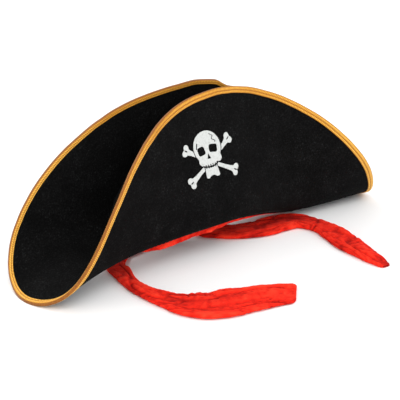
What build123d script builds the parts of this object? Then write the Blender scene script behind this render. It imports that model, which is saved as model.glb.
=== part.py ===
from build123d import *
import os
from math import copysign, cos, pi, sin

import numpy as np

# Costume pirate hat, millimetres.  +X runs to the wearer's left tip, -Y is the front, +Z is up.
# The origin is on the surface the hat stands on, under the centre of the head opening.

# ---- brim: one flat oval of felt, folded up front and back about its long axis, the spine
HALF_LENGTH = 223.5
HALF_WIDTH = 182.5
PLAN_POWER = 1.67        # exponent of the superellipse the brim is cut to
SPINE_HEIGHT = 30.5      # the felt's outer face above the table, at the centre of the hat
FELT = 2.5               # two layers of felt with a stiff core
BRIM_END = 0.985         # the felt stops here inside the braid, as a share of HALF_LENGTH

# The cross-section at |x| = 0, 1/3, 2/3 and 1 of HALF_LENGTH, for each side of the hat:
# the flap's final slope, the flat floor beside the spine, the length of the fold, the spine's drop.
SIDES = {
    -1: {"slope": (105.9, 97.6, 85.2, 47.8), "floor": (24.5, 17.0, 12.7, 7.3),
         "fold": (48.9, 47.9, 60.6, 58.4), "drop": (0.0, -3.3, -9.0, -30.0)},
    1: {"slope": (105.9, 100.3, 76.4, 54.6), "floor": (24.5, 14.0, 5.8, 2.5),
        "fold": (48.9, 43.1, 48.5, 53.5), "drop": (0.0, -14.9, -26.3, -29.9)},
}
KNOTS = np.array([1 / 3, 2 / 3, 1.0])
BACK_DIP = 0.033         # how much shorter the back flap stands past BACK_DIP_AT
BACK_DIP_AT = 31.0
BACK_DIP_RUN = 20.0

# ---- gold braid folded over the brim's edge
BRAID_WIDTH = 6.0
BRAID_SKIN = 0.9         # thickness of the braid on each face of the felt
BRAID_OVER = 1.0         # how far it stands past the felt's edge

# ---- head opening and crown
OPENING_A = 120.0        # half-length and half-width of the relaxed head opening
OPENING_B = 40.0
CROWN_FELT = 2.0
# The crown: height above the spine, half-length and half-width of the oval there.
CROWN_SECTIONS = ((-45, 119.5, 39.5), (12, 119.5, 39.5), (40, 110, 34), (62, 94, 27), (80, 74, 19))
CROWN_TOP = 2.0

# ---- red scarf
BAND_CLOTH = 1.2
BAND_GAP = 0.3           # between the band and the crown felt it is sewn to
BAND_TOP = 11.5          # top edge above the spine, just under where the crown starts to narrow
# How far the band shows below the felt at each x: it has slipped down on the left.
BAND_HANG = ((-93, 0.3), (-80, 7.5), (-43, 5.0), (-3, 6.0), (35, 3.3), (60, 0.3))
TAIL_CLOTH = 5.2         # thickness of the crumpled cloth of a tail
# A tail lies on the table: centre line (x, y), height of its underside, width.
LEFT_TAIL = ((-16, 33, 17, 24), (-48, 34, 5, 26), (-85, 27, 0, 24), (-109, 7, 0, 21), (-117, -14, 0, 19),
             (-124, -34, 0, 18), (-128, -56, 0, 18), (-127, -77, 0, 23), (-121, -97, 0, 35),
             (-111, -113, 0, 50), (-95, -127, 0, 54), (-75, -136, 0, 50), (-55, -145, 0, 44),
             (-36, -153, 0, 39), (-23, -158, 0, 37))
RIGHT_TAIL = ((16, 33, 17, 22), (9, 23, 8, 20), (14, 11, 0, 23), (36, -8, 0, 32), (60, -20, 0, 36),
              (83, -24, 0, 37), (102, -30, 0, 36), (111, -45, 0, 31), (113, -66, 0, 26),
              (108, -87, 0, 28), (102, -110, 0, 30), (97, -133, 0, 26), (92, -156, 0, 19),
              (90, -173, 0, 12))

# ---- sewing thread
THREAD = 0.7
THREAD_LIFT = 0.3        # how far a seam stands out of the cloth
THREAD_GAP = 0.12        # between a seam and the surface it lies on
SEAM_INSET = 5.0         # from the opening's edge to the seam round it
BAR_TACK = (16.0, 0.6, 3.0)
BAR_TACK_HEIGHT = 29.0

# ---- white print on the front flap: its centre along x and up the felt, and its turn
PRINT_X, PRINT_UP, PRINT_TURN = -20.0, 114.0, 4.5
PRINT_FILM = 0.4
SKULL_WIDTH, SKULL_HEIGHT = 38.0, 45.0
BONE_END = (28.5, 16.5)  # centre of a bone's knobs from the centre of the cross
BONE_WIDTH = 5.5
KNOB_RADIUS = 3.6


def even_curve(values, u):
    """Smooth curve through four values at |u| = 0, 1/3, 2/3 and 1, level at u = 0."""
    powers = np.array([KNOTS**2, KNOTS**3, KNOTS**4]).T
    c = np.linalg.solve(powers, np.array(values[1:]) - values[0])
    return values[0] + c[0] * u**2 + c[1] * u**3 + c[2] * u**4


def smooth_step(t):
    t = np.clip(t, 0, 1)
    return t * t * (3 - 2 * t)


def brim_point(x, s, lift=0.0):
    """Point of the folded brim: s is the distance from the spine along the felt, negative in
    front, and lift is measured off the outer face of the felt, positive towards the trough."""
    u = min(abs(x) / HALF_LENGTH, 1.0)
    side = SIDES[-1 if x < 0 else 1]
    slope, floor, fold, drop = (float(even_curve(side[k], u)) for k in ("slope", "floor", "fold", "drop"))
    t = np.linspace(0, abs(s), 61)
    angle = np.radians(slope) * smooth_step((t - max(floor, 0)) / fold)
    y = np.trapezoid(np.cos(angle), t) - lift * sin(angle[-1])
    z = np.trapezoid(np.sin(angle), t) + lift * cos(angle[-1])
    return (x, copysign(y, s), SPINE_HEIGHT + drop + z)


def half_width(x, back=False):
    """Distance along the felt from the spine to the edge."""
    u = min(abs(x) / HALF_LENGTH, 1.0)
    width = HALF_WIDTH * (1 - u**PLAN_POWER) ** (1 / PLAN_POWER)
    if back:
        width *= 1 - BACK_DIP * smooth_step((x - BACK_DIP_AT) / BACK_DIP_RUN) * smooth_step((1 - u) / 0.4)
    return float(width)


def thick_sheet(point, rows, columns, low, high):
    """Solid between two lifts of the surface point(row, column, lift)."""
    faces = []
    for lift in (low, high):
        grid = [[point(r, c, lift) for c in columns] for r in rows]
        faces.append(Face.make_surface_from_array_of_points(grid, tol=0.05, min_deg=3, max_deg=3))
    rims = [Face.make_surface_from_curves(a, b) for a, b in zip(faces[0].edges(), faces[1].edges())]
    solid = Solid(Shell(faces + rims))
    return solid if solid.volume > 0 else Solid(Shell([-f for f in faces + rims]))


def brim_sheet(low, high):
    """The whole folded oval between two lifts, each a number or a function of x."""
    def point(turn, share, lift):
        x = HALF_LENGTH * BRIM_END * sin(turn)
        return brim_point(x, share * half_width(x, back=share > 0), lift(x) if callable(lift) else lift)
    return thick_sheet(point, np.linspace(-pi / 2, pi / 2, 45), np.linspace(-1, 1, 49), low, high)


def edge_strip(front, inner, outer, low, high):
    """Strip along the front or back edge, between two distances in from the felt's edge."""
    def point(turn, inset, lift):
        edge = np.array([HALF_LENGTH * copysign(abs(cos(turn)) ** (2 / PLAN_POWER), -cos(turn)),
                         HALF_WIDTH * abs(sin(turn)) ** (2 / PLAN_POWER)])
        if not front:
            edge[1] *= half_width(edge[0], back=True) / max(half_width(edge[0]), 1e-6)
        share = np.abs(edge) / (HALF_LENGTH, HALF_WIDTH)
        outward = share ** (PLAN_POWER - 1) / (HALF_LENGTH, HALF_WIDTH) * (copysign(1, edge[0]), 1)
        x, s = edge - inset * outward / np.hypot(*outward)
        return brim_point(x, -s if front else s, lift)
    return thick_sheet(point, np.linspace(0, pi, 61), np.linspace(inner, outer, 5), low, high)


def oval(a, b, bottom, top):
    """Upright oval prism between two heights above the spine."""
    return Pos(0, 0, SPINE_HEIGHT + bottom) * extrude(Ellipse(a, b), top - bottom)


def dome(shrink=0.0):
    """The crown's outer shape, or the same shape inside a felt of the given thickness."""
    ovals = [Pos(0, 0, SPINE_HEIGHT + z) * Ellipse(a - shrink, b - shrink) for z, a, b in CROWN_SECTIONS]
    return loft(ovals, ruled=True)


def ring_seam(front):
    """Half of the seam round the head opening, on the underside of the felt."""
    def point(turn, inset, lift):
        x, s = -(OPENING_A + inset) * cos(turn), (OPENING_B + inset) * sin(turn)
        return brim_point(x, -s if front else s, lift)
    return thick_sheet(point, np.linspace(0, pi, 41), (SEAM_INSET, SEAM_INSET + THREAD / 2, SEAM_INSET + THREAD),
                       -THREAD_GAP - THREAD_LIFT, -THREAD_GAP)


def tail(stations):
    """A tail: a flat strip laid along its stations, narrow where it is sewn on."""
    line = Spline([(x, y) for x, y, _, _ in stations])
    along = np.array([line.param_at_point(Vector(x, y)) for x, y, _, _ in stations])

    def point(t, share, lift):
        centre, ahead = line @ t, line % t
        under = np.interp(t, along, [station[2] for station in stations])
        width = np.interp(t, along, [station[3] for station in stations])
        return (centre.X - ahead.Y * share * width, centre.Y + ahead.X * share * width, under + lift)
    return thick_sheet(point, np.linspace(0, 1, 72), np.linspace(-0.5, 0.5, 5), 0, TAIL_CLOTH)


def printed(outline):
    """The part of the white film on the front flap that lies inside an outline."""
    def point(x, s, lift):
        return brim_point(x, -s, lift)
    reach = SKULL_HEIGHT
    film = thick_sheet(point, np.linspace(PRINT_X - reach, PRINT_X + reach, 13),
                       np.linspace(PRINT_UP - reach, PRINT_UP + reach, 13), -PRINT_FILM, 0)
    height = brim_point(PRINT_X, -PRINT_UP)[2]
    flap = Plane(origin=(PRINT_X, 0, height), x_dir=(1, 0, 0), z_dir=(0, -1, 0)).rotated((0, -PRINT_TURN, 0))
    return Compound(children=[film & extrude(flap * face, HALF_WIDTH, both=True) for face in outline.faces()])


def skull_outline():
    top = Pos(-1, 13) * Ellipse(SKULL_WIDTH / 2, SKULL_WIDTH / 2.2)
    jaw = Pos(-1.5, -8) * RectangleRounded(20, 15, 3)
    eyes = [Pos(x, 11.8) * RectangleRounded(8, 7, 2.5) for x in (-8.5, 6.3)]
    nose = Pos(-1, 4.5) * Triangle(a=4.5, b=5.5, c=5.5)
    return top + jaw - eyes - nose


def bones_outline():
    """Two crossed bones with a pair of knobs at each end, cut back round the skull."""
    x, y = BONE_END
    bones = []
    for side in (-1, 1):
        length = 2 * np.hypot(x, y)
        lean = np.degrees(np.arctan2(y, x)) * side
        bones.append(Rot(0, 0, lean) * Rectangle(length, BONE_WIDTH))
        for end in (-1, 1):
            for knob in (-1, 1):
                bones.append(Rot(0, 0, lean) * Pos(end * length / 2, knob * KNOB_RADIUS * 0.8) * Circle(KNOB_RADIUS))
    return Sketch() + bones - offset(skull_outline(), 0.8) - Pos(-1, 8) * Circle(SKULL_WIDTH / 2.6)


table = Pos(0, 0, -50) * Box(3 * HALF_LENGTH, 3 * HALF_LENGTH, 100)
felt = brim_sheet(0, FELT)
below_felt = brim_sheet(-60, 0)
below_band = brim_sheet(-60, lambda x: -np.interp(x, *zip(*BAND_HANG)))
braid = [edge_strip(front, BRAID_WIDTH, -BRAID_OVER, -BRAID_SKIN, FELT + BRAID_SKIN) - felt - table
         for front in (True, False)]
middle = BRAID_WIDTH / 2
near, far = BRAID_SKIN + THREAD_GAP, BRAID_SKIN + THREAD_GAP + THREAD_LIFT
braid_seams = [edge_strip(front, middle, middle - THREAD, *lifts) - table for front in (True, False)
               for lifts in ((-far, -near), (FELT + near, FELT + far))]

band_a = OPENING_A - 0.5 - CROWN_FELT - BAND_GAP
band_b = OPENING_B - 0.5 - CROWN_FELT - BAND_GAP
band = oval(band_a, band_b, -45, BAND_TOP) - oval(band_a - BAND_CLOTH, band_b - BAND_CLOTH, -45, BAND_TOP)
tack_y = (band_b - BAND_CLOTH) * np.sqrt(1 - (LEFT_TAIL[0][0] / band_a) ** 2) - 2 * BAR_TACK[1]

pieces = {
    "brim_felt": felt - oval(OPENING_A, OPENING_B, -45, 30),
    "crown_wall": dome() - dome(CROWN_FELT) - below_felt,
    "crown_top": oval(*CROWN_SECTIONS[-1][1:], CROWN_SECTIONS[-1][0], CROWN_SECTIONS[-1][0] + CROWN_TOP),
    "edge_braid": Compound(children=braid),
    "braid_stitching": Compound(children=braid_seams),
    "opening_stitching": Compound(children=[ring_seam(True), ring_seam(False)]),
    "scarf_band": band - below_band,
    "scarf_tail_left": tail(LEFT_TAIL),
    "scarf_tail_right": tail(RIGHT_TAIL),
    "tail_bar_tacks": Compound(children=[Pos(x, tack_y, BAR_TACK_HEIGHT) * Box(*BAR_TACK)
                                         for x in (LEFT_TAIL[0][0], RIGHT_TAIL[0][0])]),
    "skull_print": printed(skull_outline()),
    "crossbones_print": printed(bones_outline()),
}

os.makedirs("parts", exist_ok=True)
for name, piece in pieces.items():
    export_step(piece, f"parts/{name}.step")
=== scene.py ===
from math import cos, pi, radians, sin

import bpy
import numpy as np
from mathutils import Matrix, Vector


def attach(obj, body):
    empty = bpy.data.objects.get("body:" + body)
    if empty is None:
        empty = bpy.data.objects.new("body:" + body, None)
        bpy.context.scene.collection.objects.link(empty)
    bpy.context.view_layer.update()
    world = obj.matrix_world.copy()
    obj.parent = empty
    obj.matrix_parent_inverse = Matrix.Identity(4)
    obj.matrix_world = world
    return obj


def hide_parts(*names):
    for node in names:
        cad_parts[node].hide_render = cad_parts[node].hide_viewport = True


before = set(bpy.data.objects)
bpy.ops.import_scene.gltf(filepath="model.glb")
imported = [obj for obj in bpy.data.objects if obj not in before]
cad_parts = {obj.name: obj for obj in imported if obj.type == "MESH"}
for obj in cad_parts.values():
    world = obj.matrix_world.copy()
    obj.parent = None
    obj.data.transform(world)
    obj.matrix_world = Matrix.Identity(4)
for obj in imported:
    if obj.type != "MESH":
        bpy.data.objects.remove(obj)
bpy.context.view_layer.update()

MM = 0.001

# ---------------------------------------------------------------- the folded brim, as in the CAD (mm)
# +X runs to the wearer's left tip, -Y is the front, and z = 0 is the table.
HALF_LENGTH, HALF_WIDTH, PLAN_POWER = 223.5, 182.5, 1.67
SPINE_HEIGHT, FELT, BRIM_END = 30.5, 2.5, 0.992
# The cross-section at |x| = 0, 1/3, 2/3 and 1 of HALF_LENGTH, on the -X side and on the +X side: the
# flap's final slope, the flat floor beside the spine, the length of the fold, the spine's drop.
SIDES = (
    {"slope": (105.9, 97.6, 85.2, 47.8), "floor": (24.5, 17.0, 12.7, 7.3),
     "fold": (48.9, 47.9, 60.6, 58.4), "drop": (0.0, -3.3, -9.0, -30.0)},
    {"slope": (105.9, 100.3, 76.4, 54.6), "floor": (24.5, 14.0, 5.8, 2.5),
     "fold": (48.9, 43.1, 48.5, 53.5), "drop": (0.0, -14.9, -26.3, -29.9)},
)
KNOTS = np.array([1 / 3, 2 / 3, 1.0])
BACK_DIP, BACK_DIP_AT, BACK_DIP_RUN = 0.033, 31.0, 20.0
BRAID_WIDTH, BRAID_OVER = 6.0, 0.7
OPENING_A, OPENING_B = 120.0, 40.0      # half-length and half-width of the head opening
SAG = 0.9                               # how far the felt wanders off its fitted shape


def smooth_step(t):
    t = np.clip(t, 0, 1)
    return t * t * (3 - 2 * t)


def even_curve(values, u):
    """Smooth curve through four values at |u| = 0, 1/3, 2/3 and 1, level at u = 0."""
    c = np.linalg.solve(np.array([KNOTS**2, KNOTS**3, KNOTS**4]).T, np.array(values[1:]) - values[0])
    return values[0] + c[0] * u**2 + c[1] * u**3 + c[2] * u**4


def integral(values, at):
    """The area under values along the last axis."""
    return np.sum((values[..., 1:] + values[..., :-1]) * np.diff(at), -1) / 2


def patchy(x, y, seed):
    """Smooth noise from -1 to 1 that changes over about one unit of x and y."""
    table = np.random.RandomState(seed).uniform(-1, 1, (61, 67))
    xi, yi = np.floor(x).astype(int), np.floor(y).astype(int)
    tx, ty = smooth_step(x - xi), smooth_step(y - yi)
    corner = [[table[(xi + i) % 61, (yi + j) % 67] for j in (0, 1)] for i in (0, 1)]
    return ((corner[0][0] * (1 - ty) + corner[0][1] * ty) * (1 - tx)
            + (corner[1][0] * (1 - ty) + corner[1][1] * ty) * tx)


def brim_points(x, s, lift=0.0):
    """Points of the brim in mm: s runs along the felt from the spine, negative in front, and lift is
    off the outer face of the felt, positive on the trough side."""
    x, s, lift = np.broadcast_arrays(*(np.asarray(v, float) for v in (x, s, lift)))
    u = np.minimum(np.abs(x) / HALF_LENGTH, 1.0)
    slope, floor, fold, drop = (np.where(x < 0, even_curve(SIDES[0][k], u), even_curve(SIDES[1][k], u))
                                for k in ("slope", "floor", "fold", "drop"))
    t = np.linspace(0, 1, 41) * np.abs(s)[..., None]
    bent = smooth_step((t - np.maximum(floor, 0)[..., None]) / fold[..., None])
    angle = np.radians(slope)[..., None] * bent
    dip = SAG * patchy(x / 42 + 9, s / 34 + 5, 3) * smooth_step((np.abs(s) - 50) / 60)
    off = lift + dip
    y = integral(np.cos(angle), t) - off * np.sin(angle[..., -1])
    z = integral(np.sin(angle), t) + off * np.cos(angle[..., -1])
    return np.stack([x, np.where(s < 0, -y, y), SPINE_HEIGHT + drop + z], -1)


def half_width(x, back):
    """Half the flat brim's width at x; the back flap is a little shorter past BACK_DIP_AT."""
    u = np.minimum(np.abs(x) / HALF_LENGTH, 1.0)
    width = HALF_WIDTH * (1 - u**PLAN_POWER) ** (1 / PLAN_POWER)
    dip = BACK_DIP * smooth_step((x - BACK_DIP_AT) / BACK_DIP_RUN) * smooth_step((1 - u) / 0.4)
    return width * (1 - np.where(back, dip, 0))


def edge_line(front, step):
    """The felt's edge from the wearer's right tip to the left one in the flat, evenly spaced along the
    folded edge, and the direction in the flat that points off the edge."""
    turn = np.linspace(0, pi, 4001)
    c, n = np.cos(turn), np.sin(turn)
    x = -HALF_LENGTH * np.sign(c) * np.abs(c) ** (2 / PLAN_POWER)
    s = HALF_WIDTH * np.abs(n) ** (2 / PLAN_POWER)
    if not front:
        s = s * half_width(x, True) / np.maximum(half_width(x, False), 1e-9)
    out = np.stack([np.sign(x) * (np.abs(x) / HALF_LENGTH) ** (PLAN_POWER - 1) / HALF_LENGTH,
                    (s / HALF_WIDTH) ** (PLAN_POWER - 1) / HALF_WIDTH], -1)
    out /= np.linalg.norm(out, axis=1)[:, None]
    side = -1 if front else 1
    line = brim_points(x, side * s)
    run = np.concatenate([[0], np.cumsum(np.linalg.norm(np.diff(line, axis=0), axis=1))])
    at = np.linspace(0, run[-1], int(run[-1] / step))
    fields = [np.interp(at, run, v) for v in (x, side * s, out[:, 0], side * out[:, 1])]
    return at, *fields


# ---------------------------------------------------------------- mesh helpers
def new_piece(name, points, faces, material, smooth=True):
    """A mesh object from points in mm."""
    mesh = bpy.data.meshes.new(name)
    mesh.from_pydata((np.asarray(points).reshape(-1, 3) * MM).tolist(), [], faces)
    mesh.materials.append(material)
    mesh.polygons.foreach_set("use_smooth", [smooth] * len(mesh.polygons))
    mesh.update()
    piece = bpy.data.objects.new(name, mesh)
    bpy.context.scene.collection.objects.link(piece)
    return piece


def grid_faces(rows, columns, closed=False, start=0):
    """Quads of a grid of points stored row by row; closed joins the last column to the first."""
    span = columns if closed else columns - 1
    r, c = np.meshgrid(np.arange(rows - 1), np.arange(span), indexing="ij")
    a = start + r * columns + c
    b = start + r * columns + (c + 1) % columns
    return np.stack([a, b, b + columns, a + columns], -1).reshape(-1, 4).tolist()


def paint(piece, tone):
    """Store how light each point of a piece is, from 0 to 1, for its material; this carries painted shade
    and highlight.
    """
    piece.data.attributes.new("tone", "FLOAT", "POINT").data.foreach_set("value", np.ravel(tone))


def thicken(piece, thickness, even=True):
    """Give a sheet its thickness in mm, half on each side; even would spike on sharp creases."""
    wall = piece.modifiers.new("thickness", "SOLIDIFY")
    wall.thickness, wall.offset, wall.use_even_offset = thickness * MM, 0, even


# ---------------------------------------------------------------- materials
class Nodes:
    """A material with a Principled shader and short calls for the nodes before it."""

    def __init__(self, name, color, roughness, **values):
        self.material = bpy.data.materials.new(name)
        self.material.use_nodes = True
        self.tree = self.material.node_tree
        self.shader = self.tree.nodes["Principled BSDF"]
        self.shader.inputs["Base Color"].default_value = (*color, 1)
        self.shader.inputs["Roughness"].default_value = roughness
        for key, value in values.items():
            self.shader.inputs[key.replace("_", " ")].default_value = value
        self.place = self.node("TexCoord").outputs["Object"]
        self.bumps = None

    def node(self, kind, **settings):
        made = self.tree.nodes.new("ShaderNode" + kind)
        for key, value in settings.items():
            setattr(made, key, value)
        return made

    def link(self, a, b):
        self.tree.links.new(a, b)

    def attribute(self, name):
        return self.node("Attribute", attribute_name=name).outputs["Fac"]

    def stretch(self, scale, rotation=(0, 0, 0)):
        mapping = self.node("Mapping")
        mapping.inputs["Scale"].default_value = scale
        mapping.inputs["Rotation"].default_value = rotation
        self.link(self.place, mapping.inputs["Vector"])
        return mapping.outputs["Vector"]

    def noise(self, scale, detail=2.0, rough=0.5, vector=None, distortion=0.0):
        made = self.node("TexNoise")
        made.inputs["Scale"].default_value = scale
        made.inputs["Detail"].default_value = detail
        made.inputs["Roughness"].default_value = rough
        made.inputs["Distortion"].default_value = distortion
        self.link(vector or self.place, made.inputs["Vector"])
        return made.outputs["Fac"]

    def ramp(self, fac, *stops):
        made = self.node("ValToRGB")
        elements = made.color_ramp.elements
        while len(elements) < len(stops):
            elements.new(0.5)
        for element, (position, color) in zip(elements, stops):
            element.position, element.color = position, (*color, 1)
        self.link(fac, made.inputs["Fac"])
        return made.outputs["Color"]

    def math(self, operation, a, b):
        made = self.node("Math", operation=operation)
        for socket, value in zip(made.inputs, (a, b)):
            if isinstance(value, (int, float)):
                socket.default_value = value
            else:
                self.link(value, socket)
        return made.outputs[0]

    def bump(self, height, distance, strength=1.0):
        made = self.node("Bump")
        made.inputs["Distance"].default_value = distance * MM
        made.inputs["Strength"].default_value = strength
        self.link(height, made.inputs["Height"])
        if self.bumps:
            self.link(self.bumps, made.inputs["Normal"])
        self.bumps = made.outputs["Normal"]
        self.link(self.bumps, self.shader.inputs["Normal"])

    def color(self, socket):
        self.link(socket, self.shader.inputs["Base Color"])

    def rough(self, fac, low, high):
        made = self.node("MapRange")
        made.inputs["To Min"].default_value = low
        made.inputs["To Max"].default_value = high
        self.link(fac, made.inputs["Value"])
        self.link(made.outputs["Result"], self.shader.inputs["Roughness"])


def grey(v):
    return (v, v, v)


def tint(v):
    """A grey with the slight coolness of black-dyed fibres that catch the light."""
    return (v * 0.92, v, v * 1.02)


def felt_material(name, base):
    """Matted black fibres with a few lighter flecks; base is the usual grey."""
    m = Nodes(name, grey(base), 0.95, Specular_IOR_Level=0.04)
    fleck = m.noise(700, 4, 0.7, distortion=0.4)
    cloud = m.noise(45, 3, 0.6)
    tone = m.math("ADD", m.math("MULTIPLY", fleck, 0.95), m.math("MULTIPLY", cloud, 0.22))
    m.color(m.ramp(tone, (0.42, grey(base * 0.35)), (0.60, grey(base)), (0.70, grey(base * 2.2)),
                   (0.84, tint(base * 10))))
    m.bump(m.noise(420, 4, 0.6, distortion=0.6), 0.5)
    m.bump(m.noise(1500, 3, 0.6, m.stretch((1, 1, 0.35), (0.5, 0.3, 0.9))), 0.22)
    m.rough(fleck, 0.85, 1.0)
    return m.material


def gold_material(name, light, middle, dark):
    """Metallic-looking rayon, with painted highlight on the ribs and painted shade in the grooves."""
    m = Nodes(name, light, 0.5, Sheen_Weight=0.03, Sheen_Roughness=0.4, Specular_IOR_Level=0.28)
    grain = m.noise(800, 3, 0.6)
    tone = m.math("ADD", m.math("MULTIPLY", m.attribute("tone"), 0.78), m.math("MULTIPLY", grain, 0.3))
    m.color(m.ramp(tone, (0.14, dark), (0.50, middle), (0.90, light)))
    m.bump(m.noise(2400, 2, 0.6), 0.12)
    m.rough(m.noise(700, 2), 0.38, 0.62)
    return m.material


def red_material(name, light, middle, dark):
    """Crinkled cotton, with painted shade in its creases and painted highlight on its ridges."""
    m = Nodes(name, middle, 0.9, Sheen_Weight=0.01, Sheen_Roughness=0.5, Specular_IOR_Level=0.08)
    grain = m.noise(300, 4, 0.65, distortion=0.8)
    tone = m.math("ADD", m.math("MULTIPLY", m.attribute("tone"), 0.75), m.math("MULTIPLY", grain, 0.45))
    m.color(m.ramp(tone, (0.22, dark), (0.62, middle), (0.95, light)))
    m.bump(m.noise(520, 4, 0.7, distortion=1.5), 0.45)
    m.bump(m.noise(1900, 2, 0.6), 0.15)
    m.rough(grain, 0.8, 1.0)
    return m.material


def film_material():
    """White transfer film, slightly worn to grey."""
    m = Nodes("white_film", (0.52, 0.54, 0.525), 0.6, Specular_IOR_Level=0.2)
    m.color(m.ramp(m.noise(500, 4, 0.65), (0.30, (0.40, 0.42, 0.405)), (0.5, (0.52, 0.54, 0.525))))
    m.bump(m.noise(420, 4, 0.6, distortion=0.6), 0.12)
    return m.material


BLACK = felt_material("black_felt", 0.0036)
CROWN = felt_material("crown_felt", 0.0038)
# The braid's light, middle and dark colours are lit and shaded versions of one gold, for its painted
# highlight and shade.
GOLD = gold_material("gold_braid", (0.98, 0.63, 0.13), (0.62, 0.265, 0.013), (0.18, 0.048, 0.002))
GOLD_THREAD = gold_material("gold_thread", (0.50, 0.19, 0.02), (0.50, 0.19, 0.02), (0.42, 0.15, 0.012))
BLACK_THREAD = felt_material("black_thread", 0.02)
# The cloth's light, middle and dark colours are lit and shaded versions of one red, for its painted
# highlight and shade.
RED = red_material("red_cotton", (0.95, 0.048, 0.020), (0.76, 0.018, 0.008), (0.28, 0.003, 0.002))
RED_THREAD = red_material("red_thread", (0.5, 0.02, 0.01), (0.5, 0.02, 0.01), (0.3, 0.01, 0.005))
WHITE = film_material()


# ---------------------------------------------------------------- brim
def make_brim():
    """The felt as a grid over the flat oval, with the head opening left out and its rim drawn in."""
    rows, columns = 201, 221
    turn, share = np.meshgrid(np.linspace(-pi / 2, pi / 2, rows), np.linspace(-1, 1, columns), indexing="ij")
    x = HALF_LENGTH * BRIM_END * np.sin(turn)
    s = share * half_width(x, share > 0)
    inside = (x / OPENING_A) ** 2 + (s / OPENING_B) ** 2
    flat = [face for face in grid_faces(rows, columns) if inside.ravel()[face].mean() > 1]
    used = np.zeros(rows * columns, int)
    for face in flat:
        used[face] += 1
    rim = (used > 0) & (used < 4) & (inside.ravel() < 1.3)
    pull = np.where(rim, 1 / np.sqrt(np.maximum(inside.ravel(), 1e-6)), 1)
    keep = used > 0
    number = np.cumsum(keep) - 1
    points = brim_points(x.ravel() * pull, s.ravel() * pull, FELT / 2)[keep]
    brim = new_piece("brim", points, [number[face].tolist() for face in flat], BLACK)
    thicken(brim, FELT)
    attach(brim, "hat")
    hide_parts("brim_felt")


# ---------------------------------------------------------------- braid
RIB_PITCH = 1.9
STEPS_PER_RIB = 6
CORD = 0.65              # height of a braid cord above the felt
INSIDE_SHARE = 0.62      # the braid's width on the trough side as a share of its width outside


def braid_section():
    """Across one face of the braid, from its inner edge to the felt's edge: how far across, and how
    high it stands, as two cords with a groove between them."""
    across = np.linspace(0, 1, 17)
    height = np.sqrt(np.maximum(1 - (2 * ((across * 2) % 1) - 1) ** 2, 0))
    return across, height


def make_braid(front):
    """One run of braid, folded over the edge from the outer face to the trough side."""
    at, x, s, nx, ns = edge_line(front, RIB_PITCH / STEPS_PER_RIB)
    across, height = braid_section()
    rows, tones = [], []
    for outside in (True, False):
        face, level = (-1, 0) if outside else (1, FELT)
        width = BRAID_WIDTH * (1 if outside else INSIDE_SHARE)
        slant = np.abs(across - 0.5) * 1.6
        wave = np.sin(2 * pi * (at[:, None] / RIB_PITCH + slant[None, :] * face))
        wobble = 1 + 0.12 * patchy(at[:, None] / 5, across[None, :] * 2 + 3, 31)
        stand = 0.12 + CORD * height[None, :] * (1 + 0.24 * wave) * wobble
        inset = width * (1 - across) - BRAID_OVER * across**5 + 0.2 * patchy(at / 11, 0 * at, 33)[:, None]
        grid = brim_points(x[:, None] - nx[:, None] * inset, s[:, None] - ns[:, None] * inset,
                           level + face * stand)
        # Painted shade: the braid is coloured darker towards the top of the flaps, plus a little patchy
        # random tone.
        top_shade_and_patchy_tone = 0.30 * smooth_step((grid[..., 2] - 85) / 75) + 0.08 * patchy(at / 30, 0 * at, 35)[:, None]
        # Painted shade and highlight: darkest at the cord edges and in the middle groove, lightest on the
        # crowns of the cords, striped by the ribs.
        tone = np.clip(0.04 + (0.96 - top_shade_and_patchy_tone) * height[None, :] ** 1.4 * (0.58 + 0.42 * wave), 0, 1)
        order = slice(None) if outside else slice(None, None, -1)
        rows.append(grid[:, order])
        tones.append(tone[:, order])
    section, tone = np.concatenate(rows, 1), np.concatenate(tones, 1)
    section[..., 2] = np.maximum(section[..., 2], 0.1)
    name = "front_braid" if front else "back_braid"
    braid = new_piece(name, section, grid_faces(len(at), section.shape[1], closed=True), GOLD)
    paint(braid, tone)
    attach(braid, "hat")
    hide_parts("edge_braid")


# ---------------------------------------------------------------- seams
SEAM_INSET = 5.0         # from the opening's edge to the seam round it


def stitch_mesh(name, line, normal, material, length=2.6, pitch=3.2, radius=0.28):
    """A row of separate stitches along a line of points, each a small bent capsule."""
    run = np.concatenate([[0], np.cumsum(np.linalg.norm(np.diff(line, axis=0), axis=1))])
    starts = np.arange(0, run[-1] - length, pitch)
    along = np.array([0, 0.12, 0.5, 0.88, 1.0])
    swell = np.array([0.05, 0.8, 1, 0.8, 0.05])
    sink = np.array([-0.3, 0, 0.12, 0, -0.3])
    ring = np.linspace(0, 2 * pi, 8, endpoint=False)
    points, faces = [], []
    for start in starts:
        at = start + along * length
        centre = np.stack([np.interp(at, run, line[:, k]) for k in range(3)], -1)
        up = np.stack([np.interp(at, run, normal[:, k]) for k in range(3)], -1)
        ahead = centre[-1] - centre[0]
        ahead /= np.linalg.norm(ahead)
        side = np.cross(up, ahead)
        side /= np.linalg.norm(side, axis=1)[:, None]
        centre = centre + up * (sink * radius)[:, None]
        loop = (centre[:, None] + radius * swell[:, None, None]
                * (np.cos(ring)[None, :, None] * side[:, None] + np.sin(ring)[None, :, None] * up[:, None]))
        faces += grid_faces(5, 8, closed=True, start=len(points) * 40)
        points.append(loop.reshape(-1, 3))
    return new_piece(name, np.concatenate(points), faces, material)


def face_line(x, s, lift):
    """A line on the brim and the direction that points off it on that side."""
    line = brim_points(x, s, lift)
    off = line - brim_points(x, s, FELT / 2)
    return line, off / np.linalg.norm(off, axis=1)[:, None]


def make_braid_seams():
    """A row of stitches down the groove of each braid run, on both faces."""
    for front in (True, False):
        at, x, s, nx, ns = edge_line(front, 1.0)
        inset = BRAID_WIDTH / 2
        for lift, share, side in ((-0.4, 1, "outer"), (FELT + 0.4, INSIDE_SHARE, "inner")):
            line, off = face_line(x - nx * inset * share, s - ns * inset * share, lift)
            name = f"{'front' if front else 'back'}_braid_seam_{side}"
            seam = stitch_mesh(name, line, off, GOLD_THREAD)
            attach(seam, "hat")
            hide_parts("braid_stitching")


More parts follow.
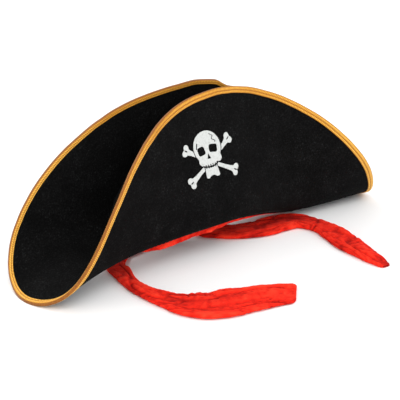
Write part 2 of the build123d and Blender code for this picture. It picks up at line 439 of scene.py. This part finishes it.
def make_opening_seam():
    """The seam that holds brim, crown and band together, on the underside of the felt."""
    turn = np.linspace(0, 2 * pi, 600)
    a, b = OPENING_A + SEAM_INSET, OPENING_B + SEAM_INSET
    line, off = face_line(a * np.cos(turn), b * np.sin(turn), -0.15)
    seam = stitch_mesh("opening_seam", line, off, BLACK_THREAD, 3.4, 4.2, 0.3)
    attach(seam, "hat")
    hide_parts("opening_stitching")


# ---------------------------------------------------------------- crown
# The crown: height above the spine, half-length and half-width of the oval there.
CROWN_SECTIONS = np.array([(-45, 119.5, 39.5), (12, 119.5, 39.5), (40, 110, 34), (62, 94, 27), (80, 74, 19)])
CROWN_FELT, PANEL_FELT = 2.0, 1.8


def opening_height(x, y):
    """Height of the brim's outer face at the rim of the head opening."""
    return brim_points(x, y * 1.03)[..., 2]


def make_crown():
    """The crown's side wall, rising from the head opening, and the oval panel that closes it."""
    turn = np.linspace(0, 2 * pi, 241)[:-1]
    rise = np.linspace(0, 1, 41)
    foot, edge = CROWN_SECTIONS[1], CROWN_SECTIONS[-1]
    base = opening_height(foot[1] * np.cos(turn), foot[2] * np.sin(turn)) - SPINE_HEIGHT + 0.3
    top = edge[0]
    height = base + (top - base) * rise[:, None]
    smooth = smooth_step((rise - 0.94) / 0.06)[:, None] * 1.2
    a = np.interp(height, CROWN_SECTIONS[:, 0], CROWN_SECTIONS[:, 1]) - CROWN_FELT / 2 - smooth
    b = np.interp(height, CROWN_SECTIONS[:, 0], CROWN_SECTIONS[:, 2]) - CROWN_FELT / 2 - smooth
    wobble = 0.8 * patchy(turn * 6 + 3, rise[:, None] * 4 + 2, 11) * np.sin(pi * rise)[:, None]
    points = np.stack([(a - wobble) * np.cos(turn), (b - wobble) * np.sin(turn), SPINE_HEIGHT + height], -1)
    wall = new_piece("crown_side", points, grid_faces(41, 240, closed=True), CROWN)
    thicken(wall, CROWN_FELT)
    rings = np.linspace(0.001, 1, 16)[:, None]
    dome = 1.6 * (1 - rings**2) - 0.9 * rings**12
    panel = np.stack([edge[1] * rings * np.cos(turn), edge[2] * rings * np.sin(turn),
                      SPINE_HEIGHT + top + 0.9 + dome + 0 * turn], -1)
    cap = new_piece("crown_panel", panel, grid_faces(16, 240, closed=True), CROWN)
    thicken(cap, PANEL_FELT)
    for piece, node in ((wall, "crown_wall"), (cap, "crown_top")):
        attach(piece, "hat")
        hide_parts(node)


# ---------------------------------------------------------------- scarf band
# How far the band shows below the felt at each x: it has slipped down on the left.
BAND_HANG = ((-106, 0.3), (-98, 4.2), (-90, 6.6), (-80, 7.2), (-43, 5.4), (-10, 5.2), (8, 3.4),
             (35, 2.0), (60, 0.3))
BAND_TOP = 11.5          # top edge above the spine
BAND_INSET = 3.4         # from the opening's edge to the middle of the band
BAND_CLOTH = 0.7


def make_band():
    """The gathered scarf band round the inside of the head opening."""
    turn = np.linspace(0, 2 * pi, 901)[:-1]
    rise = np.linspace(0, 1, 29)[:, None]
    a, b = OPENING_A - BAND_INSET, OPENING_B - BAND_INSET
    x, y = a * np.cos(turn), b * np.sin(turn)
    low = opening_height(x, y) - np.interp(x, *zip(*BAND_HANG))
    high = SPINE_HEIGHT + BAND_TOP
    run = turn * 80
    gather = (1.0 * patchy(run / 5.5, rise * 2.5 + 4, 21) + 0.5 * patchy(run / 2.3, rise * 6 + 9, 22)
              + 0.25 * patchy(run / 1.2, rise * 11, 23))
    low = low + 0.5 * patchy(run / 14, 0 * run, 24)
    inward = -1.0 + 0.9 * gather
    points = np.stack([(a + inward) * np.cos(turn), (b + inward) * np.sin(turn),
                       low + (high - low) * rise + 0 * turn], -1)
    band = new_piece("scarf_band_cloth", points, grid_faces(29, 900, closed=True), RED)
    # Painted shade: the band is coloured lighter where its gathers bulge outward and darker in the folds
    # between them.
    paint(band, np.clip(0.62 + 0.30 * gather, 0, 1))
    thicken(band, BAND_CLOTH, even=False)
    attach(band, "hat")
    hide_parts("scarf_band")


# ---------------------------------------------------------------- scarf tails
# A tail lies on the table: centre line (x, y), height of its underside, width.
LEFT_TAIL = ((-16, 33, 17, 24), (-48, 34, 5, 26), (-85, 27, 0, 24), (-109, 7, 0, 21), (-117, -14, 0, 19),
             (-124, -34, 0, 18), (-128, -56, 0, 18), (-127, -77, 0, 23), (-121, -97, 0, 35),
             (-112, -114, 0, 52), (-96, -129, 0, 56), (-75, -137, 0, 51), (-55, -146, 0, 44),
             (-36, -154, 0, 39), (-22, -160, 0, 36))
RIGHT_TAIL = ((16, 33, 17, 22), (9, 23, 8, 20), (14, 10, 0, 24), (36, -9, 0, 34), (60, -21, 0, 37),
              (83, -24, 0, 38), (103, -30, 0, 37), (111, -45, 0, 31), (113, -66, 0, 26),
              (108, -87, 0, 28), (102, -110, 0, 30), (97, -133, 0, 26), (92, -156, 0, 19),
              (90, -173, 0, 12))


TAIL_CLOTH = 0.45
TAIL_ROWS, TAIL_AROUND = 480, 150


def smooth_path(stations, count):
    """Evenly spaced points of a smooth curve through the stations."""
    p = np.array(stations, float)
    p = np.vstack([2 * p[0] - p[1], p, 2 * p[-1] - p[-2]])
    t = np.linspace(0, 1, 25)[:-1, None]
    parts = []
    for q in range(1, len(p) - 2):
        a, b, c, d = p[q - 1:q + 3]
        parts.append(0.5 * (2 * b + (c - a) * t + (2 * a - 5 * b + 4 * c - d) * t**2
                            + (3 * b - a - 3 * c + d) * t**3))
    line = np.vstack(parts + [p[-2:-1]])
    run = np.concatenate([[0], np.cumsum(np.linalg.norm(np.diff(line[:, :2], axis=0), axis=1))])
    at = np.linspace(0, run[-1], count)
    return at, np.stack([np.interp(at, run, line[:, k]) for k in range(4)], -1)


def folded_section(count):
    """Round the flattened roll of cloth from the middle of its underside and back: share of the width,
    and share of the thickness; both edges are turned under."""
    turn = np.linspace(-pi / 2, 1.5 * pi, count)
    across, up = -np.cos(turn), np.sin(turn)
    return 0.5 * np.sign(across) * np.abs(across) ** 0.45, np.sign(up) * np.abs(up) ** 0.8


def line_creases(along, across, seed, sharp):
    """1 on the thin wandering lines where smooth noise is zero, and 0 away from them."""
    return np.exp(-(patchy(along, across, seed) / sharp) ** 2)


def make_tail(name, node, stations, seed, bends, slant):
    """A crumpled roll of cotton along its stations; bends are the places along it, as shares of its
    length, where it is creased straight across; slant is how far its end runs on per mm across."""
    at, path = smooth_path(stations, TAIL_ROWS)
    centre, under, width = path[:, :2], np.maximum(path[:, 2], 0), path[:, 3]
    left = at[-1] - at
    width = width * np.sqrt(1 - (1 - np.minimum(left / 5, 1)) ** 2 * 0.5)
    ahead = np.gradient(centre, axis=0)
    ahead /= np.linalg.norm(ahead, axis=1)[:, None]
    side = np.stack([-ahead[:, 1], ahead[:, 0]], -1)
    share, up = folded_section(TAIL_AROUND)
    a, q, top = at[:, None], share[None, :], smooth_step((up[None, :] + 0.6) / 1.4)
    ragged = (1 + 0.05 * patchy(a / 15 + seed, np.sign(q) * 3 + 9, seed)
              + 0.03 * patchy(a / 5, q * 3 + 9, seed + 8))
    across = q * width[:, None] * ragged
    sway = 3.0 * patchy(a / 40, 0 * q, seed + 4)
    long_creases = line_creases(a / 58 + seed, (across + sway) / 8.5, seed + 1, 0.13)
    short_creases = line_creases(a / 21 + seed, (across + sway) / 5.0, seed + 2, 0.16)
    cross = sum(np.exp(-((a - b * at[-1] + 0.55 * across) / 1.7) ** 2) for b in bends)
    fine = patchy(a / 4.2, across / 1.5 + patchy(a / 9, across / 6, seed + 7), seed + 3)
    broad = patchy(a / 30, across / 12, seed + 6)
    half = np.interp(width, (22, 60), (2.9, 2.4))[:, None] * (1 + 0.22 * broad)
    half = half * np.sqrt(np.minimum(left / 30 + 0.3, 1))[:, None]
    crinkle = patchy(a / 2.1 + seed, across / 3.4 + patchy(a / 6, across / 5, seed + 5), seed + 9)
    relief = (0.9 * broad - 1.5 * long_creases - 0.85 * short_creases - 1.3 * cross + 0.34 * fine
              + 0.22 * crinkle)
    height = half * (1 + up[None, :]) + relief * top * 0.9 + 0.25
    run_on = slant * across * (1 - smooth_step(left / 45))[:, None]
    points = np.concatenate([centre[:, None, :] + side[:, None, :] * across[..., None]
                             + ahead[:, None, :] * run_on[..., None],
                             (under[:, None] + np.maximum(height, 0.25))[..., None]], -1)
    tail = new_piece(name, points, grid_faces(TAIL_ROWS, TAIL_AROUND), RED)
    # Painted shade: the cloth is coloured darker in its creases and across-folds and lighter on its raised
    # parts, plus a little random tone.
    paint(tail, np.clip(0.66 + 0.2 * broad - 0.42 * long_creases - 0.32 * short_creases - 0.4 * cross
                        + 0.2 * fine + 0.09 * crinkle, 0, 1))
    thicken(tail, TAIL_CLOTH, even=False)
    body = "left_tail" if "left" in node else "right_tail"
    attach(tail, body)
    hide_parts(node)


def make_tacks():
    """Three rows of short stitches across the root of each tail."""
    for side, x in (("left", LEFT_TAIL[0][0]), ("right", RIGHT_TAIL[0][0])):
        turn = np.linspace(-6, 6, 30)
        y = (OPENING_B - 5.2) * np.sqrt(1 - ((x + turn) / (OPENING_A - 4)) ** 2)
        rows = []
        for k in range(3):
            line = np.stack([x + turn, y - 0.6, 28.2 + 0.9 * k + 0.3 * np.sin(turn * 2 + k)], -1)
            rows.append(line if k % 2 == 0 else line[::-1])
        line = np.concatenate(rows)
        off = np.tile((0.0, -1.0, 0.0), (len(line), 1))
        tack = stitch_mesh(f"{side}_bar_tack", line, off, RED_THREAD, 1.6, 1.8, 0.3)
        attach(tack, "hat")
        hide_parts("tail_bar_tacks")


# ---------------------------------------------------------------- print
PRINT_X, PRINT_UP, PRINT_TURN = -20.0, 114.0, radians(4.5)
BONE_END = np.array([28.5, 16.5])        # a bone's knobs from the centre of the cross
PRINT_CELL, PRINT_FILM = 0.36, 0.3


def disc(p, centre, radius, squash=1.0):
    """Distance to a disc, negative inside; so are the shapes below."""
    return np.hypot(p[0] - centre[0], (p[1] - centre[1]) / squash) - radius


def slab(p, centre, half, corner, turn=0.0):
    """Distance to a turned rectangle with rounded corners."""
    x, y = p[0] - centre[0], p[1] - centre[1]
    x, y = x * cos(turn) + y * sin(turn), y * cos(turn) - x * sin(turn)
    dx, dy = np.abs(x) - half[0] + corner, np.abs(y) - half[1] + corner
    return np.hypot(np.maximum(dx, 0), np.maximum(dy, 0)) + np.minimum(np.maximum(dx, dy), 0) - corner


def merge(a, b, soft):
    """Both shapes as one, with the corner between them filled softly."""
    h = np.clip(0.5 + 0.5 * (b - a) / soft, 0, 1)
    return b * (1 - h) + a * h - soft * h * (1 - h)


def cut(shape, hole):
    return np.maximum(shape, -hole)


def skull_field(p):
    """Distance to the skull's outline, negative inside."""
    shape = merge(disc(p, (-0.4, 14.4), 17.3, 0.96), slab(p, (-0.2, 5), (10.8, 4.6), 4), 4)
    for x, y in ((-10.2, 1.2), (10.6, 1.8)):
        shape = merge(shape, disc(p, (x, y), 4.0), 1.6)
    shape = merge(shape, slab(p, (-1.0, -8.0), (7.8 - 0.10 * (p[1] + 8), 8.0), 2), 2.5)
    for x, y, half, turn in ((-8.6, 11.8, (4.6, 4.3), 0.15), (6.6, 12.2, (5.2, 4.0), -0.15)):
        shape = cut(shape, slab(p, (x, y), half, 2.4, turn))
    shape = cut(shape, np.maximum(np.abs(p[0] + 0.8) * 1.9 + (p[1] - 4.2) * 0.75 - 3.4, 2.8 - p[1]))
    mouth = np.abs(p[1] + 5.2 - 0.022 * (p[0] + 1.0) ** 2) - 0.75
    shape = cut(shape, np.maximum(mouth, np.abs(p[0] + 1.0) - 8.2))
    for k in range(-2, 3):
        gap = np.maximum(np.abs(p[0] + 1.0 - 2.9 * k) - 0.6, np.abs(p[1] + 4.4) - 2.0)
        shape = cut(shape, gap)
    crack = np.abs(p[0] - 8.8 - 1.3 * np.sin(p[1] * 1.1) + 0.35 * (p[1] - 22)) - 0.58
    shape = cut(shape, np.maximum(crack, np.abs(p[1] - 22) - 5.0))
    shape = cut(shape, slab(p, (-13.2, 17.5), (0.7, 3.2), 0.4, -0.35))
    return cut(shape, disc(p, (-1.2, -20.2), 6.4))


def bones_field(p):
    """Distance to the outline of the two crossed bones, cut back round the skull."""
    shape = np.full(p[0].shape, 1e3)
    for lean in (-1, 1):
        end = BONE_END * (1, lean)
        length = np.linalg.norm(end)
        ahead = end / length
        along, off = p[0] * ahead[0] + p[1] * ahead[1], p[1] * ahead[0] - p[0] * ahead[1]
        flare = 1.9 + 2.1 * (np.abs(along) / length) ** 5
        bone = np.maximum(np.abs(off) - flare, np.abs(along) - length)
        for tip in (-1, 1):
            for knob in (-1, 1):
                bone = merge(bone, np.hypot(along - tip * length, off - knob * 3.0) - 3.2, 1.8)
            nick = np.hypot((along - tip * (length - 0.6)) / 3.0, off) - 0.75
            bone = cut(bone, nick)
        shape = np.minimum(shape, bone)
    return cut(shape, np.minimum(skull_field(p), disc(p, (-1, 8), 14)) - 1.0)


def make_print(name, node, field, seed):
    """The film inside a shape, as a grid whose rim is moved onto the shape's outline."""
    x, y = np.meshgrid(np.arange(-38, 38, PRINT_CELL), np.arange(-24, 35, PRINT_CELL), indexing="ij")

    def worn(p):
        return field(p) + 0.15 * patchy(p[0] / 1.3 + seed, p[1] / 1.3, seed)

    value = worn((x, y))
    quads = np.array(grid_faces(*x.shape))
    quads = quads[value.ravel()[quads].mean(1) < 0]
    used = np.bincount(quads.ravel(), minlength=x.size)
    rim = ((used > 0) & (used < 4)).reshape(x.shape)
    for _ in range(3):
        v = worn((x, y))
        gx = (worn((x + 0.05, y)) - v) / 0.05
        gy = (worn((x, y + 0.05)) - v) / 0.05
        move = np.where(rim, np.clip(v, -0.3, 0.3) / np.maximum(gx**2 + gy**2, 0.3), 0) * 0.8
        x, y = x - move * gx, y - move * gy
    keep = used > 0
    number = np.cumsum(keep) - 1
    a, b = x.ravel()[keep], y.ravel()[keep]
    across = PRINT_X + a * cos(PRINT_TURN) - b * sin(PRINT_TURN)
    up = PRINT_UP + a * sin(PRINT_TURN) + b * cos(PRINT_TURN)
    film = new_piece(name, brim_points(across, -up, -0.25), number[quads].tolist(), WHITE)
    thicken(film, PRINT_FILM)
    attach(film, "hat")
    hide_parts(node)


# ---------------------------------------------------------------- stage
def make_stage():
    """A pale floor and soft lamps round the hat."""
    mesh = bpy.data.meshes.new("floor")
    r = 6.0
    mesh.from_pydata([(-r, -r, 0), (r, -r, 0), (r, r, 0), (-r, r, 0)], [], [(0, 1, 2, 3)])
    floor = bpy.data.objects.new("floor", mesh)
    bpy.context.scene.collection.objects.link(floor)
    paper = Nodes("paper", grey(0.92), 0.9)
    paper.color(paper.ramp(paper.noise(3, 2), (0.3, grey(0.91)), (0.7, grey(0.93))))
    mesh.materials.append(paper.material)
    world = bpy.data.worlds.new("studio")
    world.use_nodes = True
    world.node_tree.nodes["Background"].inputs["Color"].default_value = (1, 1, 1, 1)
    world.node_tree.nodes["Background"].inputs["Strength"].default_value = 0.8
    bpy.context.scene.world = world
    bpy.context.scene.view_settings.view_transform = "Standard"
    lamps = (("key", (-0.9, -1.3, 1.5), 1.2, 21), ("fill", (1.4, -0.8, 1.1), 1.4, 8.5),
             ("low_fill", (-0.3, -1.7, 0.35), 1.2, 6), ("side", (-1.7, 0.1, 0.8), 1.2, 9),
             ("rim", (-0.3, 1.4, 1.3), 1.0, 12))
    for name, place, size, power in lamps:
        light = bpy.data.lights.new(name, "AREA")
        light.size, light.energy = size, power
        lamp = bpy.data.objects.new(name, light)
        lamp.location = place
        lamp.rotation_euler = (Vector((0, 0, 0.08)) - Vector(place)).to_track_quat("-Z", "Y").to_euler()
        bpy.context.scene.collection.objects.link(lamp)


def make_camera():
    """The photograph's camera, in front of the hat and to its left."""
    azimuth, elevation, roll = radians(41.654), radians(21.544), radians(0.179)
    distance, target = 1.70, Vector((-0.00218, 0, 0.01483 + SPINE_HEIGHT * MM))
    back = Vector((-sin(azimuth) * cos(elevation), -cos(azimuth) * cos(elevation), sin(elevation)))
    right = Vector((cos(azimuth), -sin(azimuth), 0))
    up = back.cross(right)
    right, up = right * cos(roll) - up * sin(roll), right * sin(roll) + up * cos(roll)
    camera = bpy.data.objects.new("camera", bpy.data.cameras.new("camera"))
    camera.data.sensor_width = 36
    camera.data.lens = 36 * 1671.77 / 400
    place = target + back * distance
    camera.matrix_world = Matrix.Translation(place) @ Matrix((right, up, back)).transposed().to_4x4()
    bpy.context.scene.collection.objects.link(camera)
    bpy.context.scene.camera = camera


make_stage()
make_camera()
make_brim()
make_braid(True)
make_braid(False)
make_braid_seams()
make_crown()
make_opening_seam()
make_band()
make_tail("left_scarf_tail", "scarf_tail_left", LEFT_TAIL, 40, (0.30,), 0.42)
make_tail("right_scarf_tail", "scarf_tail_right", RIGHT_TAIL, 60, (0.56,), 0.0)
make_tacks()
make_print("skull", "skull_print", skull_field, 80)
make_print("crossed_bones", "crossbones_print", bones_field, 90)
